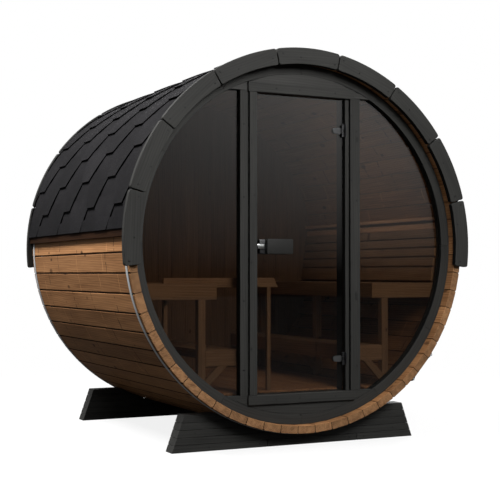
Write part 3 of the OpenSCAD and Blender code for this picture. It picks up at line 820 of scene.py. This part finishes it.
def shingle_tab(piece, middle, bottom, side, jitter):
    """One six sided tab: a flat bottom, slanting sides, and a top that goes under the next row."""
    steps = 7
    columns = 2
    rows = []
    for i in range(steps + 2):
        share = i / steps if i <= steps else 1.0 + TAB_OVERLAP
        angle = bottom + ROW_ANGLE * share
        if angle < EAVE_ANGLE:
            share = (EAVE_ANGLE - bottom) / ROW_ANGLE
            angle = EAVE_ANGLE
        half = TAB_FLAT / 2 + TAB_SLANT * min(1.0, share)
        near_eave = max(0.0, 1.0 - (angle - EAVE_ANGLE) / 3.0)
        spread = EAVE_SPREAD * near_eave**2 if bottom < EAVE_ANGLE else 0.0
        y0 = min(ROOF_REAR, max(ROOF_FRONT, middle - half - jitter[0]))
        y1 = min(ROOF_REAR, max(ROOF_FRONT, middle + half + spread + jitter[1]))
        rows.append((min(90.0, angle), y0, y1, ROOF_R - TAB_THICKNESS * share))
    rows = [row for i, row in enumerate(rows) if i == 0 or row[0] > rows[i - 1][0] + 1e-6]
    if all(y1 - y0 < 0.004 for _, y0, y1, _ in rows) or len(rows) < 2:
        return
    grid = []
    for angle, y0, y1, outer in rows:
        y1 = max(y1, y0 + 0.001)
        shown = angle if side > 0 else 180 - angle
        ys = [y0 + (y1 - y0) * c / columns for c in range(columns + 1)]
        grid.append([top_and_under(shown, y, outer, TAB_THICKNESS) for y in ys])
    slab(piece, grid)


def ridge_shingles(piece):
    """Cap shingles bent over the ridge, each lapping the next towards the rear."""
    pitch = (ROOF_REAR - ROOF_FRONT) / RIDGE_CAPS
    steps = 6
    angles = [90 - RIDGE_HALF_ANGLE + 2 * RIDGE_HALF_ANGLE * k / steps for k in range(steps + 1)]
    for i in range(RIDGE_CAPS):
        y0 = ROOF_FRONT + i * pitch
        ends = ((y0, ROOF_R), (min(ROOF_REAR, y0 + pitch * RIDGE_LAP), ROOF_R - RIDGE_DIP))
        slab(piece, [[top_and_under(angle, y, outer, RIDGE_THICKNESS) for angle in angles] for y, outer in ends])


def build_roof():
    """Underlay, a starter strip, rows of six sided shingles up both sides, and a run of ridge shingles."""
    base_r = ROOF_R - TAB_LIFT - TAB_THICKNESS * 0.4
    piece = Piece(21)
    arc_board(
        piece, ROOF_R - ROOF_THICKNESS + BATTEN_THICKNESS + STAVE_JOINT, base_r, ROOF_FRONT, ROOF_REAR,
        EAVE_ANGLE, 180 - EAVE_ANGLE, 0.001, steps=90, segments=1, slot=cut_edge,
    )
    for a0, a1 in ((EAVE_ANGLE, STARTER_END), (180 - STARTER_END, 180 - EAVE_ANGLE)):
        arc_board(
            piece, base_r, ROOF_R - STARTER_SUNK, ROOF_FRONT, ROOF_REAR, a0, a1, 0.0006,
            steps=8, segments=1, slot=cut_edge,
        )
    count = int((ROOF_REAR - ROOF_FRONT) / TAB_PITCH) + 3
    for side in (1, -1):
        for row in range(SHINGLE_ROWS):
            shift = 0.0 if row % 2 else TAB_PITCH / 2
            for k in range(-1, count):
                middle = ROOF_FRONT + FIRST_TAB + shift + k * TAB_PITCH
                jitter = [piece.random.uniform(-TAB_JITTER, TAB_JITTER) for _ in range(2)]
                shingle_tab(piece, middle, FIRST_ROW + row * ROW_ANGLE, side, jitter)
    ridge_shingles(piece)
    piece.make("roof_shingle_tabs", "roof_shingles", "shingles", shingle, shingle_edge_shade)


def build_eave_battens():
    """Battens under the lowest shingles: dark brown wood, painted darker still as the shade under the shingles'
    overhang.
    """
    inner = ROOF_R - ROOF_THICKNESS
    outer = inner + BATTEN_THICKNESS
    for node, on_left, seed in (("eave_batten_right", False, 31), ("eave_batten_left", True, 32)):
        _, _, y0, y1, z0, z1 = spans(node)
        a0, a1 = (math.degrees(math.asin((z - AXIS_Z) / outer)) for z in (z0, z1))
        if on_left:
            a0, a1 = 180 - a1, 180 - a0
        piece = Piece(seed)
        arc_board(piece, inner, outer, y0, y1, a0, a1, 0.002, steps=3, grain_of=ordered(Y, Z, X))
        piece.make(node + "_board", node, "dark_batten", shaded_batten_wood)


def screw(piece, x, y, z, radius=0.0048, facing=-1):
    """A flush screw head facing the front (-1) or the rear (1), with a recess in it."""
    sides = 14
    mesh = bmesh.new()
    rings = []
    for share, proud in ((1, 0.0), (1, 0.0004), (0.8, SCREW_PROUD), (0.45, SCREW_PROUD), (0.38, -0.0004)):
        ring = []
        for k in range(sides):
            turn = math.tau * k / sides
            place = (x + radius * share * math.cos(turn), y + facing * proud, z + radius * share * math.sin(turn))
            ring.append(mesh.verts.new(place))
        rings.append(ring)
    for inner, outer in zip(rings[1:], rings):
        for k in range(sides):
            n = (k + 1) % sides
            mesh.faces.new((outer[k], outer[n], inner[n], inner[k]))
    mesh.faces.new(rings[-1])
    mesh.faces.new(rings[0])
    bmesh.ops.recalc_face_normals(mesh, faces=mesh.faces)
    piece.add(mesh, AS_PLACED, 1)


def build_roof_trims():
    """Nine curved black boards on each end of the barrel, with eased corners and three screws each."""
    sweep = (180 + 2 * TRIM_BELOW) / TRIM_BOARDS
    joint = math.degrees(TRIM_JOINT / TRIM_R)
    inner = TRIM_R - TRIM_WIDTH
    for node, facing, seed in (("front_roof_trim", -1, 41), ("rear_roof_trim", 1, 42)):
        _, _, y0, y1, _, _ = spans(node)
        y0, y1 = (y0 + SCREW_PROUD, y1) if facing < 0 else (y0, y1 - SCREW_PROUD)
        face_y = y0 if facing < 0 else y1
        piece = Piece(seed)
        for i in range(TRIM_BOARDS):
            a0 = -TRIM_BELOW + i * sweep + joint / 2
            a1 = a0 + sweep - joint
            arc_board(
                piece, inner, TRIM_R, y0, y1, a0, a1, TRIM_BEVEL, TRIM_CORNER, 14,
                grain_of=chord_grain((a0 + a1) / 2), slot=lambda face: 2 * inner_side(face),
            )
            for angle, share in ((a0 + 1.5, 0.34), (a1 - 1.5, 0.66), (a1 - 7.5, 0.3)):
                place = angle + piece.random.uniform(-0.4, 0.4)
                x, z = polar(place, inner + TRIM_WIDTH * (share + piece.random.uniform(-0.1, 0.1)))
                screw(piece, x, face_y, z, 0.0042, facing)
        piece.make(node + "_boards", node, "black_wood", black_wood, screw_black, shade_on_edges_wood)


def butted(outline, cuts):
    """A four cornered board sawn into lengths at the given places, which butt together."""
    (x0, z0), (x1, _), (x2, z1), (x3, _) = outline
    lefts = [(x0, x3)] + [(cut + CUT_HALF,) * 2 for cut in cuts]
    rights = [(cut - CUT_HALF,) * 2 for cut in cuts] + [(x1, x2)]
    return [[(left[0], z0), (right[0], z0), (right[1], z1), (left[1], z1)] for left, right in zip(lefts, rights)]


def build_cradles():
    """Stacked black boards, hollowed to carry the barrel."""
    radius = BARREL_R / math.cos(math.pi / STAVE_COUNT) + FIT
    bottom = AXIS_Z - radius
    for node, facing, seed in (("front_cradle", -1, 51), ("rear_cradle", 1, 52)):
        _, base_half, y0, y1, _, height = spans(node)
        step = (height + STAVE_JOINT) / CRADLE_BOARDS
        slope = CRADLE_INSET / height
        piece = Piece(seed)
        for i in range(CRADLE_BOARDS):
            z0 = i * step
            z1 = z0 + step - (CRADLE_SEAM if i < CRADLE_BOARDS - 1 else STAVE_JOINT)
            s0, s1 = base_half - slope * z0, base_half - slope * z1
            if z1 <= bottom:
                outlines = [[(-s0, z0), (s0, z0), (s1, z1), (-s1, z1)]]
            elif z0 < bottom:
                right = circle_arc(radius, bottom, z1, 10)
                left = mirrored(right[1:])
                outlines = [[(-s0, z0), (s0, z0), (s1, z1)] + right[::-1] + left + [(-s1, z1)]]
            else:
                right = circle_arc(radius, z0, z1, 6)
                outlines = [[right[0], (s0, z0), (s1, z1)] + right[:0:-1]]
                outlines.append(mirrored(outlines[0]))
            if i == 0:
                outlines = butted(outlines[0], CRADLE_CUTS)
            for outline in outlines:
                piece.prism(outline, y0, y1, 0.0016, ALONG_X)
        for x, row in CRADLE_SCREWS:
            screw(piece, x, y0 if facing < 0 else y1, step * (row + 0.5), 0.0038, facing)
        piece.make(node + "_boards", node, "black_wood", black_wood, screw_black)


# ---------------------------------------------------------------- front wall and door


def build_front_wall():
    """Ring frame, and the boards above and below the windows, all stained black."""
    inner = LINING_R - RING_WIDTH
    joint = math.degrees(STAVE_JOINT / inner)
    sweep = 360 / RING_BOARDS
    ring = Piece(61)
    for i in range(RING_BOARDS):
        a0, a1 = i * sweep + joint / 2, (i + 1) * sweep - joint / 2
        arc_board(ring, inner, LINING_R, RING_FRONT, RING_REAR, a0, a1, 0.0015, slot=inner_side)
    ring.make("front_ring_boards", "front_ring", "black_wood", black_wood, shade_on_edges_wood)

    disc = inner - FIT
    _, head_x1, _, _, _, head_z1 = spans("door_head")
    notch = head_x1 + FIT
    for node, side, frame_z, material, seed in (
        # the top board's lighter stain is painted light
        ("front_wall_top", 1, head_z1, wall_top_lit_wood, 62),
        ("front_wall_bottom", -1, spans("door_sill")[4], black_wood, 63),
    ):
        _, _, y0, y1, z0, z1 = spans(node)
        edge = z0 if side > 0 else z1
        frame_edge = frame_z + side * FIT
        right = circle_arc(disc, edge, AXIS_Z + side * disc, 24)
        left = mirrored(right[-2::-1])
        outline = right + left + [(-notch, edge), (-notch, frame_edge), (notch, frame_edge), (notch, edge)]
        piece = Piece(seed)
        piece.prism(outline, y0, y1, 0.0015, ALONG_X)
        piece.make(node + "_board", node, "black_wood", material)


def build_posts():
    """A post beside each side of the door frame."""
    for node, seed in (("post_left", 64), ("post_right", 65)):
        x0, x1, y0, _, _, _ = spans(node)
        piece = Piece(seed)
        piece.box(*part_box(node), "z", 0.002, slot=upright_side)
        for z in POST_SCREWS:
            screw(piece, (x0 + x1) / 2, y0, AXIS_Z + z)
        piece.make(node + "_board", node, "black_wood", black_wood, screw_black, shade_on_edges_wood)


def build_door_frame():
    """Jambs with a rebate for the glass, the head and the sill."""
    for node, seed in (("door_jamb_left", 66), ("door_jamb_right", 67)):
        x0, x1, y0, y1, z0, z1 = spans(node)
        rebate_y = y0 + REBATE_DEPTH
        left = x0 + (JAMB_GAP if x0 < 0 else REBATE_WIDTH)
        piece = Piece(seed)
        piece.box((left, y0, z0), (x1, rebate_y, z1), "z", 0.0025, slot=upright_side)
        piece.box((x0, rebate_y, z0), (x1, y1, z1), "z", 0.0015, slot=upright_side)
        for share, z, radius in JAMB_SCREWS[node]:
            screw(piece, left + (x1 - left) * share, y0, AXIS_Z + z, radius)
        piece.make(node + "_board", node, "black_wood", black_wood, screw_black, shade_on_edges_wood)
    for node, seed in (("door_head", 68), ("door_sill", 69)):
        _, _, y0, _, z0, z1 = spans(node)
        piece = Piece(seed)
        piece.box(*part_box(node), "x", 0.0025)
        for x in HEAD_SCREWS:
            screw(piece, x, y0, (z0 + z1) / 2, 0.004)
        piece.make(node + "_board", node, "black_wood", black_wood, screw_black)


def build_door_hardware():
    """Handles, lock plates and latch on the glass door."""
    x0, x1, y0, y1, z0, z1 = spans("door_handle")
    piece = Piece(71)
    for near in (y0, y1 - HANDLE_GRIP):
        piece.box((x0, near, z0), (x1, near + HANDLE_GRIP, z1), "x", 0.004, 3)
    piece.make("door_handle_grips", "door_handle", "handle_metal", handle_paint, body="door")

    x0, x1, y0, _, z0, z1 = spans("door_lock")
    _, _, front, rear, _, _ = spans("door_glass")
    plate_x, plate_y = x0 + LATCH_INSET, front - FIT - LOCK_PLATE
    piece = Piece(72)
    for near in (plate_y, rear + FIT):
        piece.box((plate_x, near, z0), (x1, near + LOCK_PLATE, z1), "x", 0.0025, 3)
    middle = (z0 + z1) / 2
    piece.box(
        (x0, y0, middle - LATCH_HALF), (x0 + LATCH_LENGTH, front - LOCK_PLATE, middle + LATCH_HALF),
        "x", 0.003, 3, slot=1,
    )
    for z in (middle - LOCK_SCREW_RISE, middle + LOCK_SCREW_RISE):
        place = Matrix.Translation((plate_x + 0.012, plate_y - 0.0006, z)) @ Matrix.Rotation(math.pi / 2, 4, "X")
        piece.bar(place, 0.0038, 0.0016, 18, 0.0004)
    piece.make("door_lock_plates", "door_lock", "black_metal", black_paint, latch_steel, body="door")


def paint_node(name, material, bevel=0.0):
    """Gives a CAD node its material, and softens its edges without moving it."""
    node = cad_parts[name]
    node.data.materials.clear()
    node.data.materials.append(material)
    if bevel:
        soft = node.modifiers.new("soft_edges", "BEVEL")
        soft.width = bevel
        soft.segments = 2
        soft.limit_method = "ANGLE"
        soft.angle_limit = math.radians(35)


# ---------------------------------------------------------------- inside


def build_rear_wall():
    """Vertical boards with a groove at each joint."""
    _, _, y0, y1, _, _ = spans("rear_wall")
    pitch = 2 * LINING_R / REAR_BOARDS
    steps = 8
    piece = Piece(81)
    for i in range(REAR_BOARDS):
        x0 = -LINING_R + i * pitch + STAVE_JOINT / 2
        x1 = x0 + pitch - STAVE_JOINT
        xs = [x0 + (x1 - x0) * k / steps for k in range(steps + 1)]
        top = [(x, AXIS_Z + half_chord(x)) for x in xs]
        bottom = [(x, AXIS_Z - half_chord(x)) for x in xs]
        if i == 0:
            del top[0]
        if i == REAR_BOARDS - 1:
            del top[-1]
        piece.prism(
            bottom + top[::-1], y0, y1, 0.0035, ALONG_Z, lambda face: 1 if face.normal.y < -0.3 else 0,
        )
    piece.make("rear_wall_boards", "rear_wall", "stave_wood", inside_wood, rear_inside)


def build_floor():
    """Lengthwise floor boards. Those behind the door start at its sill."""
    x_low, x_high, y_low, y_high, z0, z1 = spans("floor_boards")
    sill_x0, sill_x1, _, sill_y1, _, _ = spans("door_sill")
    pitch = (x_high - x_low + FLOOR_GAP) / FLOOR_COUNT
    piece = Piece(82)
    for i in range(FLOOR_COUNT):
        x0 = x_low + i * pitch
        x1 = x0 + pitch - FLOOR_GAP
        meets_sill = x0 < sill_x1 + FIT and x1 > sill_x0 - FIT
        piece.box((x0, sill_y1 + FIT if meets_sill else y_low, z0), (x1, y_high, z1), "y", 0.003)
    # the floor's paler wood is partly painted light
    piece.make("floor_planks", "floor_boards", "inside_wood", floor_wood_painted_light)


def build_decks():
    """Seats and steps: lengthwise slats with a fascia on the aisle side."""
    for node, slats, seed in (("seat_left", 5, 83), ("seat_right", 5, 84), ("step_left", 3, 85), ("step_right", 3, 86)):
        x0, x1, y0, y1, bottom, top = spans(node)
        side = 1 if x0 > 0 else -1
        edge, wall = sorted((abs(x0), abs(x1)))
        first = edge + BOARD + FIT
        pitch = (wall - first + SLAT_GAP) / slats
        planks = [(edge, edge + BOARD, bottom)]
        for i in range(slats):
            planks.append((first + i * pitch, first + (i + 1) * pitch - SLAT_GAP, top - BOARD))
        piece = Piece(seed)
        for near, far, z0 in planks:
            left, right = sorted((side * near, side * far))
            piece.box((left, y0, z0), (right, y1, top), "y", 0.0035, 3)
        piece.make(node + "_slats", node, "inside_wood", inside_wood)


def rail_outline(x0, x1, z0, z1):
    """A cross rail, cut to the barrel where it reaches it."""
    if x1 < half_chord(z0 - AXIS_Z):
        return [(x0, z0), (x1, z0), (x1, z1), (x0, z1)]
    return [(x0, z0)] + circle_arc(LINING_R, z0, z1, 3) + [(x0, z1)]


def build_bench_frames():
    """Three frames under each bench: end boards, cross rails, a leg and a brace."""
    seat_edge, _, _, _, _, seat_top = spans("seat_right")
    step_edge, step_wall, _, _, _, step_top = spans("step_right")
    seat_low, step_low = seat_top - APRON, step_top - APRON
    seat_end = 2.0
    leg_in = step_wall + FIT
    leg_out = leg_in + LEG
    step_end = leg_in - TOUCH
    under = BOARD + FIT
    width = BRACE_WIDTH * math.sqrt(2)
    brace_low, brace_top = step_low - BRACE_REACH, step_low - TOUCH
    turn = math.sqrt(0.5)
    leg = [
        (leg_in, AXIS_Z - half_chord(leg_in)), (leg_out, AXIS_Z - half_chord(leg_out)),
        (leg_out, seat_low - TOUCH), (leg_in, seat_low - TOUCH),
    ]
    brace = [
        (step_end, brace_low), (step_end, brace_low + width),
        (leg_in - BRACE_REACH + width, brace_top), (leg_in - BRACE_REACH, brace_top),
    ]
    for node, side, seed in (("bench_frames_left", -1, 87), ("bench_frames_right", 1, 88)):
        _, _, y_first, y_end, _, _ = spans(node)
        y_last = y_end - LEG
        piece = Piece(seed)

        def plate(points, y0, y1, grain_of=ALONG_X):
            piece.prism(mirrored(points, side), y0, y1, 0.0025, grain_of)

        for y in (y_first, (y_first + y_last) / 2, y_last):
            if y == y_first:
                plate(rail_outline(seat_edge, seat_end, seat_low, seat_top), y, y + BOARD)
                plate(rail_outline(step_edge, step_end, step_low, step_top), y, y + BOARD)
            plate(rail_outline(seat_edge + under, seat_end, seat_low, seat_top - under), y + under, y + LEG)
            plate(rail_outline(step_edge + under, step_end, step_low, step_top - under), y + under, y + LEG)
            plate(leg, y, y + LEG, ALONG_Z)
            plate(brace, y, y + BOARD, lambda p: ((p.x * side - p.z) * turn, (p.x * side + p.z) * turn, p.y))
        piece.make(node + "_boards", node, "inside_wood", inside_wood)


def build_backrests():
    """Leaning slats on three uprights, with a cap along the top; the cap and a thin top strip of the upper slat are
    painted paler as a highlight.
    """
    seat_top = spans("seat_right")[5]
    foot, head = seat_top + BACK_FOOT, seat_top + BACK_HEAD
    head_x = half_chord(head - AXIS_Z, INNER_R) - BACK_SLAT - 0.012
    lean = math.atan2(BACK_LEAN, head - foot)
    up = Vector((math.sin(lean), math.cos(lean)))
    back = Vector((math.cos(lean), -math.sin(lean)))
    start = Vector((head_x - BACK_LEAN, foot))
    cap_z = head + FIT
    cap_x = half_chord(cap_z - AXIS_Z, INNER_R) - CAP_WIDTH
    cap = [(cap_x, cap_z)] + circle_arc(LINING_R, cap_z, cap_z + CAP_HEIGHT, 2) + [(cap_x, cap_z + CAP_HEIGHT)]
    base = seat_top + FIT
    lower, upper = (start + up * ((z - foot) / up.y) + back * (BACK_SLAT + FIT) / back.x for z in (base, head))
    upright = [(lower.x, base)] + circle_arc(LINING_R, base, head, 8)
    if upper.x < upright[-1][0]:
        upright.append((upper.x, head))
    for node, side, seed in (("backrest_left", -1, 91), ("backrest_right", 1, 92)):
        _, _, y0, y1, _, _ = spans(node)
        piece = Piece(seed)
        low = 0.0
        for height, gap in zip(BACK_HEIGHTS, BACK_GAPS):
            corners = ((low, 0), (low, BACK_SLAT), (low + height, BACK_SLAT), (low + height, 0))
            places = [start + up * rise + back * depth for rise, depth in corners]
            # painted highlight: the thin top strip takes the pale, lit wood
            slot = 1 if height == BACK_HEIGHTS[-1] else 0
            piece.prism([(side * place.x, place.y) for place in places], y0, y1, 0.0035, slot=slot, segments=3)
            low += height + gap
        piece.prism(mirrored(cap, side), y0, y1, 0.0025, slot=1, segments=3)
        y_last = y1 - LEG
        for y in (y0, (y0 + y_last) / 2, y_last):
            piece.prism(mirrored(upright, side), y + BOARD, y + LEG, 0.001, ALONG_Z, segments=1)
        piece.make(node + "_slats", node, "inside_wood", inside_wood, lit_stripe_wood)


def build_guard_rail():
    """A board on two slender legs just inside the front wall."""
    left, right, y0, y1, _, top = spans("guard_rail")
    _, seat_x1, _, _, _, seat_top = spans("seat_left")
    seat_edge = seat_x1 + 0.001
    bottom = top - GUARD_HEIGHT
    piece = Piece(95)
    board = [
        (left, seat_top + FIT), (seat_edge, seat_top + FIT), (seat_edge, bottom),
        (right, bottom), (right - 0.025, top), (left, top),
    ]
    piece.prism(board, y0, y1, 0.002, ALONG_X)
    leg_x1 = right - 2 * GUARD_LEG
    floor_top = spans("floor_boards")[5]
    piece.box(
        (leg_x1 - GUARD_LEG, y0, floor_top + FIT), (leg_x1, y0 + GUARD_LEG, bottom - TOUCH), "z", 0.002,
    )
    outer, inner, under = left + FIT, left + GUARD_LEG, seat_top - BOARD - FIT
    leg = [(outer, AXIS_Z - half_chord(outer)), (inner, AXIS_Z - half_chord(inner)), (inner, under), (outer, under)]
    piece.prism(leg, y0, y0 + GUARD_LEG, 0.002, ALONG_Z)
    piece.make("guard_rail_boards", "guard_rail", "inside_wood", inside_wood)


# ---------------------------------------------------------------- camera, light and floor


def show_object(name, data, place):
    """Puts a new object in the scene."""
    made = bpy.data.objects.new(name, data)
    made.location = place
    bpy.context.scene.collection.objects.link(made)
    return made


def build_camera():
    """Camera at the photograph's place: low, to the left of the front."""
    data = bpy.data.cameras.new("camera")
    data.sensor_width = 36.0
    data.lens = CAMERA_LENS
    camera = show_object("camera", data, CAMERA_PLACE)
    camera.rotation_euler = CAMERA_TURN
    bpy.context.scene.camera = camera


def build_lamps():
    """Soft square lamps, each aimed at a point."""
    for name, place, target, size, power, spread in LAMPS:
        data = bpy.data.lights.new(name, "AREA")
        data.shape = "SQUARE"
        data.size = size
        data.energy = power
        data.spread = math.radians(spread)
        made = show_object(name, data, place)
        made.rotation_euler = (Vector(target) - Vector(place)).to_track_quat("-Z", "Y").to_euler()
        made.visible_camera = False


def build_surroundings():
    """White where the camera sees it, a brighter sky overhead for the light, and a dim room for reflections."""
    scene = bpy.context.scene
    scene.view_settings.view_transform = "Standard"
    scene.world = bpy.data.worlds.new("surroundings")
    tree = Tree(scene.world)
    parts = tree.parts(tree.add("TexCoord").outputs["Generated"])
    sky = tree.mapped(tree.maths("POWER", parts[2], SKY_CURVE, clamp=True), SKY_LOW, SKY_HIGH)
    ahead = tree.mapped(parts[2], 0.015, from_high=0.20)
    sideways = tree.mapped(parts[0], 0.60, 1.32, 0.36, 0.60)
    lit = tree.either(tree.rays("Is Glossy Ray"), sky, tree.times(ahead, sideways))
    background = tree.nodes["Background"]
    tree.feed(background.inputs["Color"], (1.0, 1.0, 1.0))
    tree.feed(background.inputs["Strength"], tree.either(tree.rays("Is Camera Ray", "Is Transmission Ray"), lit, 1.0))


def build_stage():
    """Pale floor that fades to white, with a soft shadow near the sauna."""
    mesh = bmesh.new()
    bmesh.ops.create_circle(mesh, cap_ends=True, segments=96, radius=40.0)
    data = bpy.data.meshes.new("floor")
    mesh.to_mesh(data)
    mesh.free()
    floor = show_object("floor", data, (0, 0, -0.0008))
    tree = new_material("pale_floor")
    seen = tree.rays("Is Camera Ray", "Is Transmission Ray")
    grit = tree.noise(tree.place(), None, 14.0, 5.0)["Fac"]
    pale = tree.ramp(grit, (0.3, (0.93,) * 3), (0.7, (0.97,) * 3))
    tree.surface(Base_Color=tree.mix(seen, (FLOOR_TONE,) * 3, pale), Roughness=0.9, Specular_IOR_Level=0.1)
    far = tree.add("VectorMath", operation="LENGTH")
    tree.feed(far.inputs[0], tree.place())
    whiteness = tree.mapped(far.outputs["Value"], FLOOR_WHITE, 1.0, 1.5, 4.0)
    glow = tree.add("Emission", Strength=1.0)
    tree.show(tree.times(seen, whiteness), tree.nodes["Principled BSDF"].outputs[0], glow.outputs[0])
    data.materials.append(tree.owner)


build_camera()
build_surroundings()
build_stage()
build_lamps()
build_staves()
build_hoops()
build_roof()
build_eave_battens()
build_roof_trims()
build_cradles()
build_front_wall()
build_posts()
build_door_frame()
build_door_hardware()
build_rear_wall()
build_floor()
build_decks()
build_bench_frames()
build_backrests()
build_guard_rail()
for name in ("window_left", "window_right", "door_glass"):
    paint_node(name, glass)
paint_node("door_hinges", hinge_paint, 0.0008)
paint_node("frame_hinges", black_paint, 0.0008)
paint_node("front_lining", lining_wood)
paint_node("floor_joists", inside_across)
